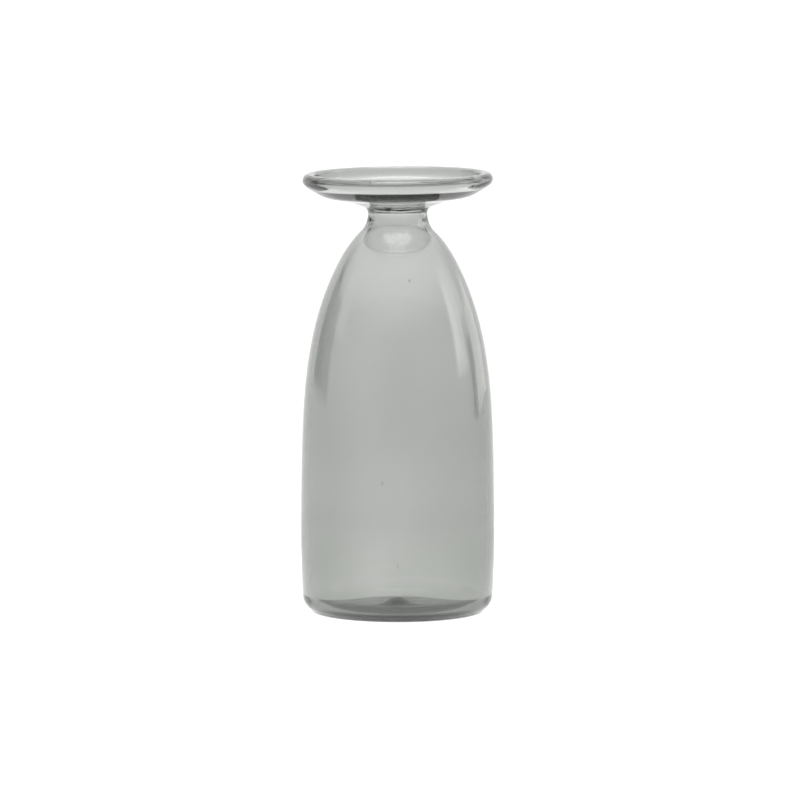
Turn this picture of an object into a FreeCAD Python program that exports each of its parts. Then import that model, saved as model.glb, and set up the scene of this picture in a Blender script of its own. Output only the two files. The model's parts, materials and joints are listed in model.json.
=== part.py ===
# Bottle vase of smoke-grey blown glass, standing on its base.
#
# The vase is made hot and has nothing that moves. Two worked portions of glass meet at the
# seam that shows as a ring in the neck, and each is one solid here:
#   bottle       blown body: punted base, rounded heel, near-cylindrical wall, ogive shoulder
#                and the hollow that draws it in to the neck
#   flange_rim   wide saucer rim with a rolled lip, thick where it meets the neck
# Both are revolved from outlines of arcs and smooth curves. The inside of the body and of
# the saucer is laid off from the outside along the normals, by the wall.
#
# Millimetres. The origin is the centre of the standing ring, and +Z is up the axis.

import FreeCAD, Part
import math
import os

# Driving dimensions
total_height = 200.0
body_radius = 44.1
neck_radius = 13.5
throat_radius = 11.3
flange_radius = 43.3
widest_height = 36.0

# The narrowest level of the neck lies this far under the top of the rim
rim_depth = 18.3
neck_height = total_height - rim_depth

# Foot: flat standing ring, rounded heel, and a base pushed up into a punt with a central nub
standing_ring_width = 7.8
heel_rounding = 7.2
heel_set_back = 0.7
heel_lean_degrees = 4.0
floor_height = 2.5
floor_rounding = 6.3
punt_rise = 1.6
nub_rise = 4.3
nub_radius = 13.0

# Wall of the body, and the hollow between shoulder and neck
body_wall = 2.6
shoulder_wall = 2.4
neck_hollow = 12.0
neck_hollow_degrees = 46.0

# Straight throat, below and above the seam
throat_below_seam = 5.0
throat_above_seam = 1.4

# Flange: hollow under its root with the seam part of the way round it, and the saucer
flange_hollow = 3.5
flange_root_degrees = 16.6
seam_degrees = 25.0
throat_rounding = 2.4
bowl_root_degrees = 16.4
saucer_root_wall = 3.2
saucer_wall = 3.5

# Rolled lip: rounded outside and inside with a narrow flat between, then a short side and a
# rounded corner where the inside turns to the bowl's floor
lip_rounding = 3.0
lip_flat = 0.7
lip_inner_rounding = 1.6
lip_inner_degrees = 106.0
bowl_side = 1.3
bowl_corner_rounding = 1.8
bowl_floor_degrees = 29.0

# Points of the smooth curves, each a share of the climb and a share of the way across: from
# the widest level to the neck hollow, and along the underside from the saucer's root to the lip
ogive_shares = ((0.30, 0.020), (0.51, 0.085), (0.72, 0.280), (0.87, 0.560))
saucer_shares = ((0.25, 0.35), (0.38, 0.64), (0.65, 0.86))

# The same for the fall from the axis to the edge of the punt, and to the foot of the nub
punt_shares = ((0.84, 0.41),)
nub_shares = ((0.35, 0.38), (0.88, 0.75))

# Directions in the plane of the outlines, in degrees from straight out towards straight up
quarter_turn_degrees = 90
OUT = 0
UP = quarter_turn_degrees
IN = 2 * quarter_turn_degrees
DOWN = -quarter_turn_degrees


def place(radius, height):
    """Point of an outline at this radius and height."""
    return FreeCAD.Vector(radius, 0, height)


def direction(degrees):
    """Unit vector of a direction in the plane of the outlines."""
    angle = math.radians(degrees)
    return FreeCAD.Vector(math.cos(angle), 0, math.sin(angle))


def line(start, end):
    """Straight edge."""
    return Part.LineSegment(start, end).toShape()


def arc(centre, radius, first, last):
    """Arc about a centre from one direction to another."""
    middle = (first + last) / 2
    return Part.Arc(*[centre + direction(d) * radius for d in (first, middle, last)]).toShape()


def smooth(points, leaving, arriving):
    """Smooth curve through the points, leaving the first and arriving at the last as told."""
    curve = Part.BSplineCurve()
    curve.interpolate(Points=points, InitialTangent=direction(leaving),
                      FinalTangent=direction(arriving))
    return curve


def between(start, end, shares):
    """Points between two others, by shares of the way along and across from the first."""
    step = end - start
    return [place(start.x + step.x * across, start.z + step.z * along) for along, across in shares]


def laid_off(curve, point, wall):
    """Point one wall to the left of a point on a curve, seen along the curve."""
    along = curve.tangent(curve.parameter(point))[0]
    return point + FreeCAD.Vector(-along.z, 0, along.x) * wall


def revolved(edges):
    """Solid of revolution from the closed outline that the edges make in turn."""
    face = Part.Face(Part.Wire(edges))
    return face.revolve(FreeCAD.Vector(), direction(UP), 360)


def base_underside(ring_edge):
    """Punt: the pushed-up hollow under the base, from the axis to the standing ring."""
    apex = place(0, punt_rise)
    points = [apex] + between(apex, ring_edge, punt_shares) + [ring_edge]
    return smooth(points, OUT, OUT).toShape()


def floor_nub(foot):
    """Nub left on the floor where the base was pushed up, from its foot to the axis."""
    apex = place(0, floor_height + nub_rise)
    points = [apex] + between(apex, foot, nub_shares) + [foot]
    return smooth(points, OUT, OUT).toShape()


def flange_hollow_centre():
    """Centre of the hollow that turns the neck out into the flange."""
    return place(neck_radius + flange_hollow, neck_height)


def seam_edge():
    """Point where the seam comes out on the side of the neck."""
    return flange_hollow_centre() + direction(IN - seam_degrees) * flange_hollow


def make_bottle():
    """Blown body from the standing ring to the seam in the neck."""
    heel_centre = place(body_radius - heel_set_back - heel_rounding, heel_rounding)
    ring_outer = heel_centre + direction(DOWN) * heel_rounding
    ring_inner = ring_outer + direction(IN) * standing_ring_width
    heel_top = heel_centre + direction(OUT - heel_lean_degrees) * heel_rounding

    hollow_centre = place(neck_radius + neck_hollow, neck_height)
    hollow_start = hollow_centre + direction(IN + neck_hollow_degrees) * neck_hollow
    widest = place(body_radius, widest_height)
    side = [widest] + between(widest, hollow_start, ogive_shares) + [hollow_start]
    outside = smooth([heel_top] + side, UP - heel_lean_degrees, UP + neck_hollow_degrees)

    wall_growth = (shoulder_wall - body_wall) / (hollow_start.z - widest.z)
    inner_side = [laid_off(outside, point, body_wall + wall_growth * (point.z - widest.z))
                  for point in side]
    floor_centre = place(heel_top.x - body_wall - floor_rounding, floor_height + floor_rounding)
    floor_top = floor_centre + direction(OUT) * floor_rounding
    floor_edge = floor_centre + direction(DOWN) * floor_rounding
    seam_inner = place(throat_radius, seam_edge().z)
    throat_foot = seam_inner + direction(DOWN) * throat_below_seam
    inside = smooth([floor_top] + inner_side + [throat_foot], UP, UP)

    nub_foot = place(nub_radius, floor_height)
    return revolved([
        base_underside(ring_inner),
        line(ring_inner, ring_outer),
        arc(heel_centre, heel_rounding, DOWN, OUT - heel_lean_degrees),
        outside.toShape(),
        arc(hollow_centre, neck_hollow, IN + neck_hollow_degrees, IN),
        arc(flange_hollow_centre(), flange_hollow, IN, IN - seam_degrees),
        line(seam_edge(), seam_inner),
        line(seam_inner, throat_foot),
        inside.toShape(),
        arc(floor_centre, floor_rounding, OUT, DOWN),
        line(floor_edge, nub_foot),
        floor_nub(nub_foot),
        line(place(0, floor_height + nub_rise), place(0, punt_rise)),
    ])


def make_flange_rim():
    """Saucer rim: from the seam, out along the underside, over the lip and back down."""
    root_direction = UP + flange_root_degrees
    root = flange_hollow_centre() + direction(root_direction) * flange_hollow
    seam_inner = place(throat_radius, seam_edge().z)
    throat_top = seam_inner + direction(UP) * throat_above_seam
    throat_centre = throat_top + direction(OUT) * throat_rounding
    inner_root = throat_centre + direction(UP + bowl_root_degrees) * throat_rounding

    lip_centre = place(flange_radius - lip_rounding, total_height - lip_rounding)
    lip_side = lip_centre + direction(OUT) * lip_rounding
    saucer = between(root, lip_side, saucer_shares)
    underside = smooth([root] + saucer + [lip_side], flange_root_degrees, UP)

    lip_top = place(lip_centre.x, total_height)
    lip_inner_top = lip_top + direction(IN) * lip_flat
    lip_inner_centre = lip_inner_top + direction(DOWN) * lip_inner_rounding
    lip_inner_end = UP + lip_inner_degrees
    lip_foot = lip_inner_centre + direction(lip_inner_end) * lip_inner_rounding

    walls = saucer_root_wall, saucer_wall
    near_root, midway = [laid_off(underside, point, wall) for point, wall in zip(saucer, walls)]
    corner_top = lip_foot + direction(lip_inner_end + UP) * bowl_side
    corner_centre = corner_top + direction(lip_inner_end) * bowl_corner_rounding
    corner_end = DOWN + bowl_floor_degrees
    floor_edge = corner_centre + direction(corner_end) * bowl_corner_rounding
    bowl_floor = smooth([floor_edge, midway, near_root, inner_root], IN + bowl_floor_degrees,
                        IN + bowl_root_degrees)

    return revolved([
        arc(flange_hollow_centre(), flange_hollow, IN - seam_degrees, root_direction),
        underside.toShape(),
        arc(lip_centre, lip_rounding, OUT, UP),
        line(lip_top, lip_inner_top),
        arc(lip_inner_centre, lip_inner_rounding, UP, lip_inner_end),
        line(lip_foot, corner_top),
        arc(corner_centre, bowl_corner_rounding, lip_inner_end - IN, corner_end),
        bowl_floor.toShape(),
        arc(throat_centre, throat_rounding, UP + bowl_root_degrees, IN),
        line(throat_top, seam_inner),
        line(seam_inner, seam_edge()),
    ])


def main():
    """Builds each piece of glass and writes it as one file."""
    os.makedirs("parts", exist_ok=True)
    pieces = {"bottle": make_bottle(), "flange_rim": make_flange_rim()}
    for name, solid in pieces.items():
        solid.exportStep(f"parts/{name}.step")
        print(name, "valid" if solid.isValid() else "not valid", f"{solid.Volume:.0f} mm3")


main()
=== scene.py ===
"""Looks of the bottle vase: one skin of smoke-grey glass on a pale table, in soft light."""
import json
import math

import bpy
import numpy as np
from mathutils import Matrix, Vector


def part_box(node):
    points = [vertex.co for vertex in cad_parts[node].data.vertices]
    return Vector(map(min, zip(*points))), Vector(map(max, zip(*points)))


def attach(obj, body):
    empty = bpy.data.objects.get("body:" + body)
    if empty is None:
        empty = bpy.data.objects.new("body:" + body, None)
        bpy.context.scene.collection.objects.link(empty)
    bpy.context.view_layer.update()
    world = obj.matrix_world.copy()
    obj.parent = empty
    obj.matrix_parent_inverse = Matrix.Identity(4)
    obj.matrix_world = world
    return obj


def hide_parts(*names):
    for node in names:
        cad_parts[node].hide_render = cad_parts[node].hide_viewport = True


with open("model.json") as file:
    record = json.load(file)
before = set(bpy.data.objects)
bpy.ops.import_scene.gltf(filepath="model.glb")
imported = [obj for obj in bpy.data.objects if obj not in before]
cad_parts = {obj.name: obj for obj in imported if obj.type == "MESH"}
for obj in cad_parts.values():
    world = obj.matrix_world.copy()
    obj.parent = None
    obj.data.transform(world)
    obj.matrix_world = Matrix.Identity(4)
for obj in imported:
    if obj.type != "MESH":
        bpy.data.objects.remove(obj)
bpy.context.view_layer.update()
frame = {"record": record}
MM = 0.001

# Sizes read from the frame, in metres like everything below
throat = next(m for m in frame["record"]["mounts"] if m["name"] == "throat")
total_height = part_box("flange_rim")[1].z
body_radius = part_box("bottle")[1].x
flange_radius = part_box("flange_rim")[1].x
seam_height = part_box("bottle")[1].z
throat_radius = throat["dims"]["r_mm"] * MM

# Sizes of the outline that the frame's boxes don't give
neck_radius = 13.5 * MM
rim_depth = 18.3 * MM
neck_height = total_height - rim_depth
widest_height = 36.0 * MM
standing_ring_width = 7.8 * MM
heel_rounding = 7.2 * MM
heel_set_back = 0.7 * MM
heel_lean_degrees = 4.0
floor_height = 2.5 * MM
floor_rounding = 6.3 * MM
punt_rise = 1.6 * MM
nub_rise = 4.3 * MM
nub_radius = 13.0 * MM
body_wall = 2.6 * MM
shoulder_wall = 2.4 * MM
neck_hollow = 12.0 * MM
neck_hollow_degrees = 46.0
throat_below_seam = 5.0 * MM
throat_above_seam = 1.4 * MM
flange_hollow = 3.5 * MM
flange_root_degrees = 16.6
throat_rounding = 2.4 * MM
bowl_root_degrees = 16.4
saucer_root_wall = 3.2 * MM
saucer_wall = 3.5 * MM
lip_rounding = 3.0 * MM
lip_flat = 0.7 * MM
lip_inner_rounding = 1.6 * MM
lip_inner_degrees = 106.0
bowl_side = 1.3 * MM
bowl_corner_rounding = 1.8 * MM
bowl_floor_degrees = 29.0

# Points of the smooth curves, each a share of the climb and a share of the way across. Between
# its points the punt's curve dips 0.1 mm under the standing ring, as it does on the solid
ogive_shares = ((0.30, 0.020), (0.51, 0.085), (0.72, 0.280), (0.87, 0.560))
saucer_shares = ((0.25, 0.35), (0.38, 0.64), (0.65, 0.86))
punt_shares = ((0.84, 0.41),)
nub_shares = ((0.35, 0.38), (0.88, 0.75))

# How finely the skin is drawn: round the axis, along smooth curves and round arcs
turns = 256
curve_step = 1.2 * MM
fine_step = 0.25 * MM
arc_step_degrees = 4.0

# Traces of the making. The rim leans to the left, from the seam up. The seam shows on the neck as a
# fine crease a little above the pieces' meeting, that climbs from the front round to the back,
# wanders up and down and has one nick, with painted shade in it that is dark in front and fades
# behind: rise, depth, half width, climb, wander, and the nick's direction, half width in degrees
# and extra depth
rim_lean_degrees = 0.58
seam_crease = (1.0 * MM, 0.12 * MM, 0.32 * MM, 0.9 * MM, 0.2 * MM)
seam_nick = (-107.0, 5.0, 0.2 * MM)
seam_arc_step_degrees = 1.5

# More of the crease: the waves that it wanders by, each with its count round the neck, share and
# shift; how dark its painted shade is at the sides and how fast that grows towards the front; the
# shares of its depth that are there all round and in front only; the darkness of its painted shade
# with a change, count and shift; the radius outside which it is cut; and a radius that keeps points
# on the axis from dividing by 0
seam_waves = ((3, 0.5, 0.7), (7, 0.3, 2.1), (13, 0.2, 0.0))
seam_front = (0.5, 2.5)
seam_depth_shares = (0.4, 0.6)
seam_painted_shade = (2.0, 0.5, 9, 1.0)
neck_outside = neck_radius - body_wall / 4
smallest_radius = 1e-9

# Rings left on the floor round the nub: how many, and their height
ring_count = 4
ring_height = 0.12 * MM

# Seeds: small bubbles drawn out upwards in the wall, each by direction, height, half width and
# half height, and a number of finer ones scattered by chance, with the number that the chance
# starts from and what they lie between: half width, height in millimetres, and stretch
seeds = (
    (-79.4, 153.5 * MM, 0.32 * MM, 0.8 * MM),
    (-119.5, 76.0 * MM, 0.22 * MM, 1.1 * MM),
    (-99.3, 63.5 * MM, 0.22 * MM, 1.3 * MM),
    (-90.0, 26.0 * MM, 0.17 * MM, 1.5 * MM),
)
scattered_seeds = 26
scattered_start = 7
scattered_half_width = (0.08 * MM, 0.17 * MM)
scattered_height_mm = (14, 160)
scattered_stretch = (1.2, 3.5)
seed_rounds, seed_levels = 16, 8

# Where the middle of the wall is read for the seeds: between which heights, and how many times
wall_span = (10 * MM, 165 * MM)
wall_readings = 60

# Directions in the plane of the outline, in degrees from straight out towards straight up
OUT, UP, IN, DOWN = 0, 90, 180, -90


def place(radius, height):
    """Point of the outline."""
    return np.array([radius, height])


def direction(degrees):
    """Unit vector in the plane of the outline."""
    angle = math.radians(degrees)
    return np.array([math.cos(angle), math.sin(angle)])


def steps_for(length, step):
    """Whole steps that a length takes, two at least."""
    return max(2, math.ceil(length / step))


def arc(centre, radius, first, last, step_degrees=arc_step_degrees):
    """Points of an arc."""
    steps = steps_for(abs(last - first), step_degrees)
    return [centre + direction(d) * radius for d in np.linspace(first, last, steps + 1)]


def line(start, end, step=curve_step):
    """Points of a straight stretch."""
    steps = steps_for(np.linalg.norm(end - start), step)
    return [start + (end - start) * share for share in np.linspace(0, 1, steps + 1)]


def between(start, end, shares):
    """Points between two others, by shares of the way along and across from the first."""
    step = end - start
    return [place(start[0] + step[0] * across, start[1] + step[1] * along)
            for along, across in shares]


def knot_slopes(points, leaving, arriving):
    """Slopes at the points of the cubic spline by chord length, and the chords."""
    chords = np.linalg.norm(np.diff(points, axis=0), axis=1)
    rates = np.diff(points, axis=0) / chords[:, None]
    count = len(points)
    matrix = np.eye(count)
    known = np.zeros((count, 2))
    known[0], known[-1] = direction(leaving), direction(arriving)
    for i in range(1, count - 1):
        before, after = chords[i - 1], chords[i]
        matrix[i, i - 1:i + 2] = after, 2 * (before + after), before
        known[i] = 3 * (before * rates[i] + after * rates[i - 1])
    return np.linalg.solve(matrix, known), chords


def smooth(points, leaving, arriving, step=curve_step):
    """Points of the smooth curve through a few points, with its directions at the ends told."""
    points = np.array(points)
    slopes, chords = knot_slopes(points, leaving, arriving)
    made = [points[0]]
    for i, chord in enumerate(chords):
        for t in np.linspace(0, 1, steps_for(chord, step) + 1)[1:]:
            made.append((1 + 2 * t) * (1 - t) ** 2 * points[i]
                        + t * (1 - t) ** 2 * chord * slopes[i]
                        + t ** 2 * (3 - 2 * t) * points[i + 1]
                        + t ** 2 * (t - 1) * chord * slopes[i + 1])
    return made


def rippled(points):
    """The points of a level stretch with rings raised on it, flat again at both ends."""
    shares = np.linspace(0, 1, len(points))
    rises = [ring_height * math.sin(math.pi * ring_count * share) ** 2 * math.sin(math.pi * share)
             for share in shares]
    return [p + place(0, rise) for p, rise in zip(points, rises)]


def laid_off(points, leaving, arriving, walls):
    """The points of a smooth curve moved to its left by the wall at each."""
    slopes, _ = knot_slopes(np.array(points), leaving, arriving)
    return [p + place(-s[1], s[0]) / np.linalg.norm(s) * wall
            for p, s, wall in zip(points, slopes, walls)]


def bottle_outline():
    """Outside from the axis up to the neck, and inside from the throat down to the axis."""
    heel_centre = place(body_radius - heel_set_back - heel_rounding, heel_rounding)
    ring_outer = heel_centre + direction(DOWN) * heel_rounding
    ring_inner = ring_outer + direction(IN) * standing_ring_width
    heel_top = heel_centre + direction(OUT - heel_lean_degrees) * heel_rounding
    punt_apex = place(0, punt_rise)

    hollow_centre = place(neck_radius + neck_hollow, neck_height)
    hollow_start = hollow_centre + direction(IN + neck_hollow_degrees) * neck_hollow
    widest = place(body_radius, widest_height)
    side = [widest] + between(widest, hollow_start, ogive_shares) + [hollow_start]
    outer_ends = UP - heel_lean_degrees, UP + neck_hollow_degrees

    share_up = [(p[1] - widest[1]) / (hollow_start[1] - widest[1]) for p in side]
    walls = [body_wall + (shoulder_wall - body_wall) * share for share in share_up]
    inner_side = laid_off([heel_top] + side, *outer_ends, [0] + walls)[1:]
    floor_centre = place(heel_top[0] - body_wall - floor_rounding, floor_height + floor_rounding)
    floor_top = floor_centre + direction(OUT) * floor_rounding
    floor_edge = floor_centre + direction(DOWN) * floor_rounding
    throat_foot = place(throat_radius, seam_height - throat_below_seam)
    nub_apex = place(0, floor_height + nub_rise)
    nub_foot = place(nub_radius, floor_height)

    outside = [
        smooth([punt_apex] + between(punt_apex, ring_inner, punt_shares) + [ring_inner], OUT, OUT),
        line(ring_inner, ring_outer),
        arc(heel_centre, heel_rounding, DOWN, OUT - heel_lean_degrees),
        smooth([heel_top] + side, *outer_ends),
        arc(hollow_centre, neck_hollow, IN + neck_hollow_degrees, IN),
    ]
    inside = [
        smooth([throat_foot] + inner_side[::-1] + [floor_top], DOWN, DOWN),
        arc(floor_centre, floor_rounding, OUT, DOWN),
        rippled(line(floor_edge, nub_foot, fine_step)),
        smooth([nub_apex] + between(nub_apex, nub_foot, nub_shares) + [nub_foot], OUT, OUT)[::-1],
    ]
    return outside, inside


def rim_outline():
    """From the neck out along the underside, over the lip, down the bowl and through the throat."""
    hollow_centre = place(neck_radius + flange_hollow, neck_height)
    root_direction = UP + flange_root_degrees
    root = hollow_centre + direction(root_direction) * flange_hollow
    throat_top = place(throat_radius, seam_height + throat_above_seam)
    throat_foot = place(throat_radius, seam_height - throat_below_seam)
    throat_centre = throat_top + direction(OUT) * throat_rounding
    inner_root = throat_centre + direction(UP + bowl_root_degrees) * throat_rounding

    lip_centre = place(flange_radius - lip_rounding, total_height - lip_rounding)
    lip_side = lip_centre + direction(OUT) * lip_rounding
    underside = [root] + between(root, lip_side, saucer_shares) + [lip_side]
    lip_top = place(lip_centre[0], total_height)
    lip_inner_top = lip_top + direction(IN) * lip_flat
    lip_inner_centre = lip_inner_top + direction(DOWN) * lip_inner_rounding
    lip_inner_end = UP + lip_inner_degrees
    lip_foot = lip_inner_centre + direction(lip_inner_end) * lip_inner_rounding
    walls = [0, saucer_root_wall, saucer_wall, 0, 0]
    near_root, midway = laid_off(underside, flange_root_degrees, UP, walls)[1:3]
    corner_top = lip_foot + direction(lip_inner_end + UP) * bowl_side
    corner_centre = corner_top + direction(lip_inner_end) * bowl_corner_rounding
    corner_end = DOWN + bowl_floor_degrees
    floor_edge = corner_centre + direction(corner_end) * bowl_corner_rounding
    return [
        arc(hollow_centre, flange_hollow, IN, root_direction, seam_arc_step_degrees),
        smooth(underside, flange_root_degrees, UP, fine_step),
        arc(lip_centre, lip_rounding, OUT, UP),
        line(lip_top, lip_inner_top),
        arc(lip_inner_centre, lip_inner_rounding, UP, lip_inner_end),
        line(lip_foot, corner_top, fine_step),
        arc(corner_centre, bowl_corner_rounding, lip_inner_end - IN, corner_end),
        smooth([floor_edge, midway, near_root, inner_root], IN + bowl_floor_degrees,
               IN + bowl_root_degrees, fine_step),
        arc(throat_centre, throat_rounding, UP + bowl_root_degrees, IN),
        line(throat_top, throat_foot, fine_step),
    ]


def joined(stretches):
    """One run of points, with the points that neighbours share kept once."""
    run = [stretches[0][0]]
    for stretch in stretches:
        run += stretch[1:]
    return np.array(run)


def turned(outline):
    """Points and faces turned round the axis from an outline that starts and ends on it."""
    angles = np.linspace(0, 2 * math.pi, turns, endpoint=False)
    rings = outline[1:-1]
    x = rings[:, :1] * np.cos(angles)
    y = rings[:, :1] * np.sin(angles)
    z = np.repeat(rings[:, 1:], turns, axis=1)
    points = np.stack([x, y, z], axis=-1).reshape(-1, 3)
    first, last = len(points), len(points) + 1
    points = np.vstack([points, [0, 0, outline[0][1]], [0, 0, outline[-1][1]]])

    column = np.arange(turns)
    beside = (column + 1) % turns
    faces = []
    for ring in range(len(rings) - 1):
        low, high = ring * turns, (ring + 1) * turns
        corners = [low + column, low + beside, high + beside, high + column]
        faces += np.stack(corners, axis=1).tolist()
    top = (len(rings) - 1) * turns
    faces += [[first, b, a] for a, b in zip(column.tolist(), beside.tolist())]
    faces += [[last, top + a, top + b] for a, b in zip(column.tolist(), beside.tolist())]
    return points, faces


def cut_seam(points):
    """Sinks the crease of the seam into the neck, and says how dark the painted shade in it is at
    each point.
    """
    rise, depth, half_width, climb, wander = seam_crease
    nick_at, nick_width, nick_depth = seam_nick
    at_sides, growth = seam_front
    all_round, front_only = seam_depth_shares
    painted_darkness, change, count, shift = seam_painted_shade
    radius = np.hypot(points[:, 0], points[:, 1])
    angle = np.arctan2(points[:, 1], points[:, 0])
    waves = sum(share * np.sin(times * angle + moved) for times, share, moved in seam_waves)
    height = seam_height + rise + climb * (1 + np.sin(angle)) + wander * waves
    turned_away = (np.degrees(angle) - nick_at + 180) % 360 - 180
    nick = np.exp(-(turned_away / nick_width) ** 2)
    front = np.clip(at_sides - growth * np.sin(angle), 0.0, 1.0)
    outside = radius > neck_outside
    closeness = np.exp(-((points[:, 2] - height) / (half_width * (1 + nick))) ** 2) * outside
    sink = closeness * (depth * (all_round + front_only * front) + nick_depth * nick)
    points[:, :2] *= (1 - sink / np.maximum(radius, smallest_radius))[:, None]
    # Painted shade in the crease: dark in front, fading behind
    shade = painted_darkness + change * np.sin(count * angle + shift)
    return np.clip(closeness * front * shade, 0.0, 1.0)


def lean_rim(points):
    """Leans the rim, more the further above the seam, up to the whole lean at the neck's end."""
    climbed = points[:, 2] - seam_height + throat_below_seam
    share = np.clip(climbed / (2 * throat_below_seam), 0, 1)
    points[:, 2] += points[:, 0] * math.tan(math.radians(rim_lean_degrees)) * share


def wall_middles(outside, inside):
    """Radius of the wall's middle by height, on the body and the shoulder."""
    outer, inner = joined(outside[3:4]), joined(inside[:1])[::-1]
    heights = np.linspace(*wall_span, wall_readings)
    outer_radii, inner_radii = [np.interp(heights, run[:, 1], run[:, 0]) for run in (outer, inner)]
    return heights, (outer_radii + inner_radii) / 2


def seed(centre, half_width, half_height):
    """Points and faces of one bubble, facing its own middle as the glass round it ends there."""
    rises = np.linspace(-math.pi / 2, math.pi / 2, seed_levels + 1)[1:-1]
    angles = np.linspace(0, 2 * math.pi, seed_rounds, endpoint=False)
    points = [[0, 0, -half_height]]
    points += [[half_width * math.cos(r) * math.cos(a), half_width * math.cos(r) * math.sin(a),
                half_height * math.sin(r)] for r in rises for a in angles]
    points += [[0, 0, half_height]]
    faces = []
    for i in range(seed_rounds):
        j = (i + 1) % seed_rounds
        faces.append([0, 1 + i, 1 + j])
        for level in range(len(rises) - 1):
            low, high = 1 + level * seed_rounds, 1 + (level + 1) * seed_rounds
            faces.append([low + i, high + i, high + j, low + j])
        top = 1 + (len(rises) - 1) * seed_rounds
        faces.append([len(points) - 1, top + j, top + i])
    return np.array(points) + centre, faces


def all_seeds(outside, inside):
    """The seeds seen in the photograph, and finer ones by chance."""
    heights, middles = wall_middles(outside, inside)
    chance = np.random.default_rng(scattered_start)
    wanted = list(seeds)
    for _ in range(scattered_seeds):
        half_width = chance.uniform(*scattered_half_width)
        wanted.append((chance.uniform(0, 360), chance.uniform(*scattered_height_mm) * MM,
                       half_width, half_width * chance.uniform(*scattered_stretch)))
    for angle, height, half_width, half_height in wanted:
        radius = np.interp(height, heights, middles)
        across, away = direction(angle) * radius
        yield seed(np.array([across, away, height]), half_width, half_height)


def make_mesh(name, outside, inside):
    """Mesh of the whole skin with the traces of its making, and the painted shade of the seam
    crease on its points.
    """
    points, faces = turned(joined(outside + rim_outline() + inside))
    painted_darkness = cut_seam(points)
    lean_rim(points)
    for seed_points, seed_faces in all_seeds(outside, inside):
        faces += [[len(points) + corner for corner in face] for face in seed_faces]
        points = np.vstack([points, seed_points])
    mesh = bpy.data.meshes.new(name)
    mesh.from_pydata(points.tolist(), [], faces)
    mesh.polygons.foreach_set("use_smooth", [True] * len(mesh.polygons))
    mesh.update()
    # The crease's painted shade, kept on the points for the base colour
    painted_seam_shade = mesh.attributes.new("painted_seam_shade", "FLOAT", "POINT")
    painted_seam_shade.data.foreach_set("value", np.pad(painted_darkness, (0, len(points) - len(painted_darkness))))
    return mesh


class Nodes:
    """Short calls for the value nodes of one node tree."""

    def __init__(self, tree):
        """Takes the tree that the nodes go into."""
        self.nodes, self.links = tree.nodes, tree.links

    def feed(self, socket, value):
        """Sets a socket to a number, or links it to another node's output."""
        if isinstance(value, (int, float)):
            socket.default_value = value
        else:
            self.links.new(value, socket)

    def maths(self, operation, *values):
        """One step of arithmetic."""
        node = self.nodes.new("ShaderNodeMath")
        node.operation = operation
        for socket, value in zip(node.inputs, values):
            self.feed(socket, value)
        return node.outputs[0]

    def ramp(self, value, start, end, low=0.0, high=1.0):
        """Soft passage from low to high as the value goes from start to end."""
        node = self.nodes.new("ShaderNodeMapRange")
        node.interpolation_type = "SMOOTHSTEP"
        names = ("Value", "From Min", "From Max", "To Min", "To Max")
        for name, given in zip(names, (value, start, end, low, high)):
            self.feed(node.inputs[name], given)
        return node.outputs["Result"]

    def split(self, vector):
        """The three parts of a vector."""
        node = self.nodes.new("ShaderNodeSeparateXYZ")
        self.links.new(vector, node.inputs["Vector"])
        return node.outputs["X"], node.outputs["Y"], node.outputs["Z"]

    def distance(self, x, y):
        """Distance from the axis."""
        squares = [self.maths("MULTIPLY", value, value) for value in (x, y)]
        return self.maths("SQRT", self.maths("ADD", *squares))


# Smoke glass: what a metre of it takes from red, green and blue light, how much of that is left in
# the paler glass of the neck and the rim, and where the one passes into the other. The volume's
# density is so many times the strongest of the three, which keeps its colour between 0 and 1
absorption_per_metre = (184.0, 177.0, 186.5)
density_headroom = 2
rim_share = 0.86
rim_passage = (seam_height - 55 * MM, seam_height - 18 * MM)
glass_ior = 1.5

# Uneven density: how much, how fine round the axis and along it, per metre, and the span of the
# noise that it uses. Waves of the skin: their height and fineness. Wear on the standing ring: its
# roughness, the height that it reaches, the ring's inner edge with the width over which the wear
# fades inside it, its fineness and span. Detail of the noise, for the wear and for the others
cloud_change = 0.06
cloud_fineness = (24.0, 24.0, 7.0)
cloud_span = (0.3, 0.7)
wave_height = 0.02 * MM
wave_fineness = (30.0, 30.0, 9.0)
wear_roughness = 0.1
wear_height = 0.04 * MM
ring_inner_radius = body_radius - heel_set_back - heel_rounding - standing_ring_width
wear_fade = 0.5 * MM
wear_fineness = 2500.0
wear_span = (0.4, 0.6)
wear_detail, soft_detail = 3.0, 1.0


def noise(make, where, fineness, detail):
    """Noise between 0 and 1, as fine along each axis as told."""
    scaled = make.nodes.new("ShaderNodeMapping")
    scaled.inputs["Scale"].default_value = fineness
    make.links.new(where, scaled.inputs["Vector"])
    texture = make.nodes.new("ShaderNodeTexNoise")
    texture.inputs["Scale"].default_value = 1.0
    texture.inputs["Detail"].default_value = detail
    make.links.new(scaled.outputs["Vector"], texture.inputs["Vector"])
    return texture.outputs["Fac"]


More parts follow.
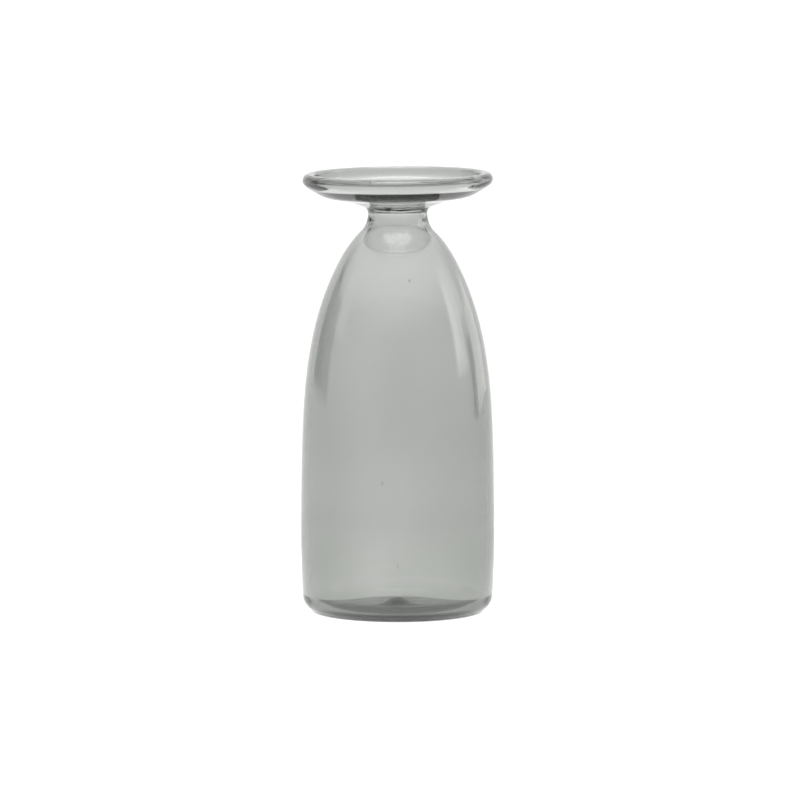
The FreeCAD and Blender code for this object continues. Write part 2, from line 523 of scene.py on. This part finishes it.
def glass_material():
    """Clear glass with the grey in its volume, painted shade along the seam crease, waves in its
    skin and wear under the foot.
    """
    material = bpy.data.materials.new("smoke_glass")
    material.use_nodes = True
    make = Nodes(material.node_tree)
    where = make.nodes.new("ShaderNodeTexCoord").outputs["Object"]
    x, y, height = make.split(where)

    surface = make.nodes["Principled BSDF"]
    surface.inputs["Transmission Weight"].default_value = 1
    # Painted shade: the base colour turns from white to black along the seam crease, darkest in
    # front
    painted_seam_shade = make.nodes.new("ShaderNodeAttribute")
    painted_seam_shade.attribute_name = "painted_seam_shade"
    seam_shade_mix = make.nodes.new("ShaderNodeMix")
    seam_shade_mix.data_type = "RGBA"
    seam_shade_mix.inputs["A"].default_value = (1, 1, 1, 1)
    seam_shade_mix.inputs["B"].default_value = (0, 0, 0, 1)
    make.links.new(painted_seam_shade.outputs["Fac"], seam_shade_mix.inputs["Factor"])
    make.links.new(seam_shade_mix.outputs["Result"], surface.inputs["Base Color"])
    surface.inputs["IOR"].default_value = glass_ior
    scratches = make.ramp(noise(make, where, (wear_fineness,) * 3, wear_detail), *wear_span)
    radius = make.distance(x, y)
    worn = make.ramp(height, 0.0, wear_height, wear_roughness, 0.0)
    on_ring = make.ramp(radius, ring_inner_radius - wear_fade, ring_inner_radius)
    worn = make.maths("MULTIPLY", worn, on_ring)
    make.links.new(make.maths("MULTIPLY", worn, scratches), surface.inputs["Roughness"])
    waves = make.nodes.new("ShaderNodeBump")
    waves.inputs["Distance"].default_value = wave_height
    make.links.new(noise(make, where, wave_fineness, soft_detail), waves.inputs["Height"])
    make.links.new(waves.outputs["Normal"], surface.inputs["Normal"])

    density = max(absorption_per_metre) * density_headroom
    volume = make.nodes.new("ShaderNodeVolumeAbsorption")
    volume.inputs["Color"].default_value = [1 - a / density for a in absorption_per_metre] + [1]
    unevenness = noise(make, where, cloud_fineness, soft_detail)
    clouds = make.ramp(unevenness, *cloud_span, 1 - cloud_change, 1 + cloud_change)
    share = make.ramp(height, *rim_passage, 1.0, rim_share)
    strength = make.maths("MULTIPLY", make.maths("MULTIPLY", clouds, share), density)
    make.links.new(strength, volume.inputs["Density"])
    make.links.new(volume.outputs["Volume"], make.nodes["Material Output"].inputs["Volume"])
    return material


def make_glass():
    """The whole vase as one skin, outside and inside."""
    glass = bpy.data.objects.new("glass", make_mesh("glass", *bottle_outline()))
    bpy.context.scene.collection.objects.link(glass)
    glass.data.materials.append(glass_material())
    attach(glass, "root")
    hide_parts("bottle", "flange_rim")
    return glass


# Studio. Azimuths run from straight behind the vase towards the right, in degrees. Brightness of
# the surroundings near the horizon behind and in front, halfway up and overhead, and the
# elevations between which one turns into the next
behind = 1.12
in_front = 1.1
halfway_up = 2.0
overhead = 6.2
lower_ramp = (18.0, 40.0)
upper_ramp = (62.0, 72.0)

# Softboxes and gaps between them: azimuth, half width, lowest and highest elevation, change
softboxes = (
    (86.0, 10.0, 4.0, 46.0, 1.5),
    (90.0, 5.0, 7.0, 46.0, 1.0),
    (70.0, 8.0, 13.0, 46.0, 0.9),
    (49.0, 13.0, -5.0, 12.0, 0.7),
    (-88.0, 10.0, 12.0, 46.0, 0.5),
)
gaps = (
    (66.5, 4.5, -5.0, 8.0, -1.1),
    (-64.0, 17.0, -1.0, 19.0, -0.95),
    (-52.0, 9.0, 17.0, 32.0, -0.6),
    (180.0, 21.0, -8.0, 21.0, -0.15),
)
soft_edge = 1.5

# Light table: its size, its level, which clears the lowest point of the underside, its roughness,
# what it throws back, its glow further off, its brighter glow round the foot, which is a painted
# pool of light, and its dim glow under it, which is a painted shadow, and the radii between which
# one passes into the other
table_size = 3.0
table_level = -0.2 * MM
table_roughness = 0.9
table_albedo = 0.08
table_glow = 0.9
painted_pool_glow = 1.17
painted_shadow_glow = 0.2
painted_pool_radii = (110 * MM, 300 * MM)
painted_shadow_radii = (36.5 * MM, 40.5 * MM)


def sine(degrees):
    """Sine of an angle in degrees."""
    return math.sin(math.radians(degrees))


def panel_share(make, across, away, height, panel):
    """How much of a panel a direction sees: all of it inside, none outside, soft at its edges."""
    azimuth, half_width, lowest, highest = panel[:4]
    towards = make.maths("ADD", make.maths("MULTIPLY", across, sine(azimuth)),
                         make.maths("MULTIPLY", away, sine(90 - azimuth)))
    edge = 90 - half_width
    beside = make.ramp(towards, sine(edge - soft_edge), sine(edge + soft_edge))
    above = make.ramp(height, sine(lowest - soft_edge), sine(lowest + soft_edge))
    below = make.ramp(height, sine(highest - soft_edge), sine(highest + soft_edge), 1.0, 0.0)
    return make.maths("MULTIPLY", beside, make.maths("MULTIPLY", above, below))


def make_world():
    """White all round, brighter overhead, with softboxes and gaps."""
    world = bpy.data.worlds.new("studio")
    bpy.context.scene.world = world
    world.use_nodes = True
    make = Nodes(world.node_tree)
    background = make.nodes["Background"]
    background.inputs["Color"].default_value = (1, 1, 1, 1)
    sky = make.nodes.new("ShaderNodeTexCoord")
    x, y, height = make.split(sky.outputs["Generated"])
    level = make.maths("SQRT", make.maths("SUBTRACT", 1.0, make.maths("MULTIPLY", height, height)))
    across, away = make.maths("DIVIDE", x, level), make.maths("DIVIDE", y, level)

    low = make.ramp(away, -1.0, 1.0, in_front, behind)
    for panel in softboxes + gaps:
        share = panel_share(make, across, away, height, panel)
        low = make.maths("ADD", low, make.maths("MULTIPLY", share, panel[-1]))
    middle = make.ramp(height, sine(lower_ramp[0]), sine(lower_ramp[1]), low, halfway_up)
    strength = make.ramp(height, sine(upper_ramp[0]), sine(upper_ramp[1]), middle, overhead)
    make.links.new(strength, background.inputs["Strength"])


def table_material():
    """Pale table that glows, brighter round the foot in a painted pool of light and dimmer under it
    in a painted shadow.
    """
    material = bpy.data.materials.new("pale_table")
    material.use_nodes = True
    make = Nodes(material.node_tree)
    surface = make.nodes["Principled BSDF"]
    surface.inputs["Base Color"].default_value = (table_albedo, table_albedo, table_albedo, 1)
    surface.inputs["Roughness"].default_value = table_roughness
    surface.inputs["Specular IOR Level"].default_value = 0
    surface.inputs["Emission Color"].default_value = (1, 1, 1, 1)
    where = make.nodes.new("ShaderNodeTexCoord")
    x, y, _ = make.split(where.outputs["Object"])
    radius = make.distance(x, y)
    # Painted pool of light round the foot, then a painted shadow under it
    glow = make.ramp(radius, *painted_pool_radii, painted_pool_glow, table_glow)
    glow = make.ramp(radius, *painted_shadow_radii, painted_shadow_glow, glow)
    make.links.new(glow, surface.inputs["Emission Strength"])
    return material


def make_floor():
    """Table under the vase."""
    mesh = bpy.data.meshes.new("floor")
    half = table_size / 2
    corners = [(-half, -half, 0), (half, -half, 0), (half, half, 0), (-half, half, 0)]
    mesh.from_pydata(corners, [], [(0, 1, 2, 3)])
    floor = bpy.data.objects.new("floor", mesh)
    bpy.context.scene.collection.objects.link(floor)
    floor.location.z = table_level
    floor.data.materials.append(table_material())


# Camera: the view's fall, its distance, the width of the photograph's frame at the vase, the
# point at its middle, and how far it sees
camera_fall_degrees = 6.516
camera_distance = 3.0
frame_width = 364.2 * MM
frame_middle = Vector((1.05 * MM, 0, 96.35 * MM))
camera_reach = 100

# How many surfaces the light may pass or mirror in
light_bounces = 40
mirror_bounces = 16


def make_camera():
    """Camera where the photograph was taken from."""
    camera = bpy.data.objects.new("camera", bpy.data.cameras.new("camera"))
    bpy.context.scene.collection.objects.link(camera)
    bpy.context.scene.camera = camera
    camera.data.lens = camera.data.sensor_width * camera_distance / frame_width
    fall = math.radians(camera_fall_degrees)
    back = Vector((0, -math.cos(fall), math.sin(fall)))
    camera.location = frame_middle + back * camera_distance
    camera.rotation_mode = "QUATERNION"
    camera.rotation_quaternion = (-back).to_track_quat("-Z", "Y")
    camera.data.clip_end = camera_reach


def set_light_paths():
    """Light passes many glass surfaces on its way, and the colours are shown as they are."""
    scene = bpy.context.scene
    scene.cycles.max_bounces = light_bounces
    scene.cycles.transmission_bounces = light_bounces
    scene.cycles.glossy_bounces = mirror_bounces
    scene.view_settings.view_transform = "Standard"


make_glass()
make_world()
make_floor()
make_camera()
set_light_paths()
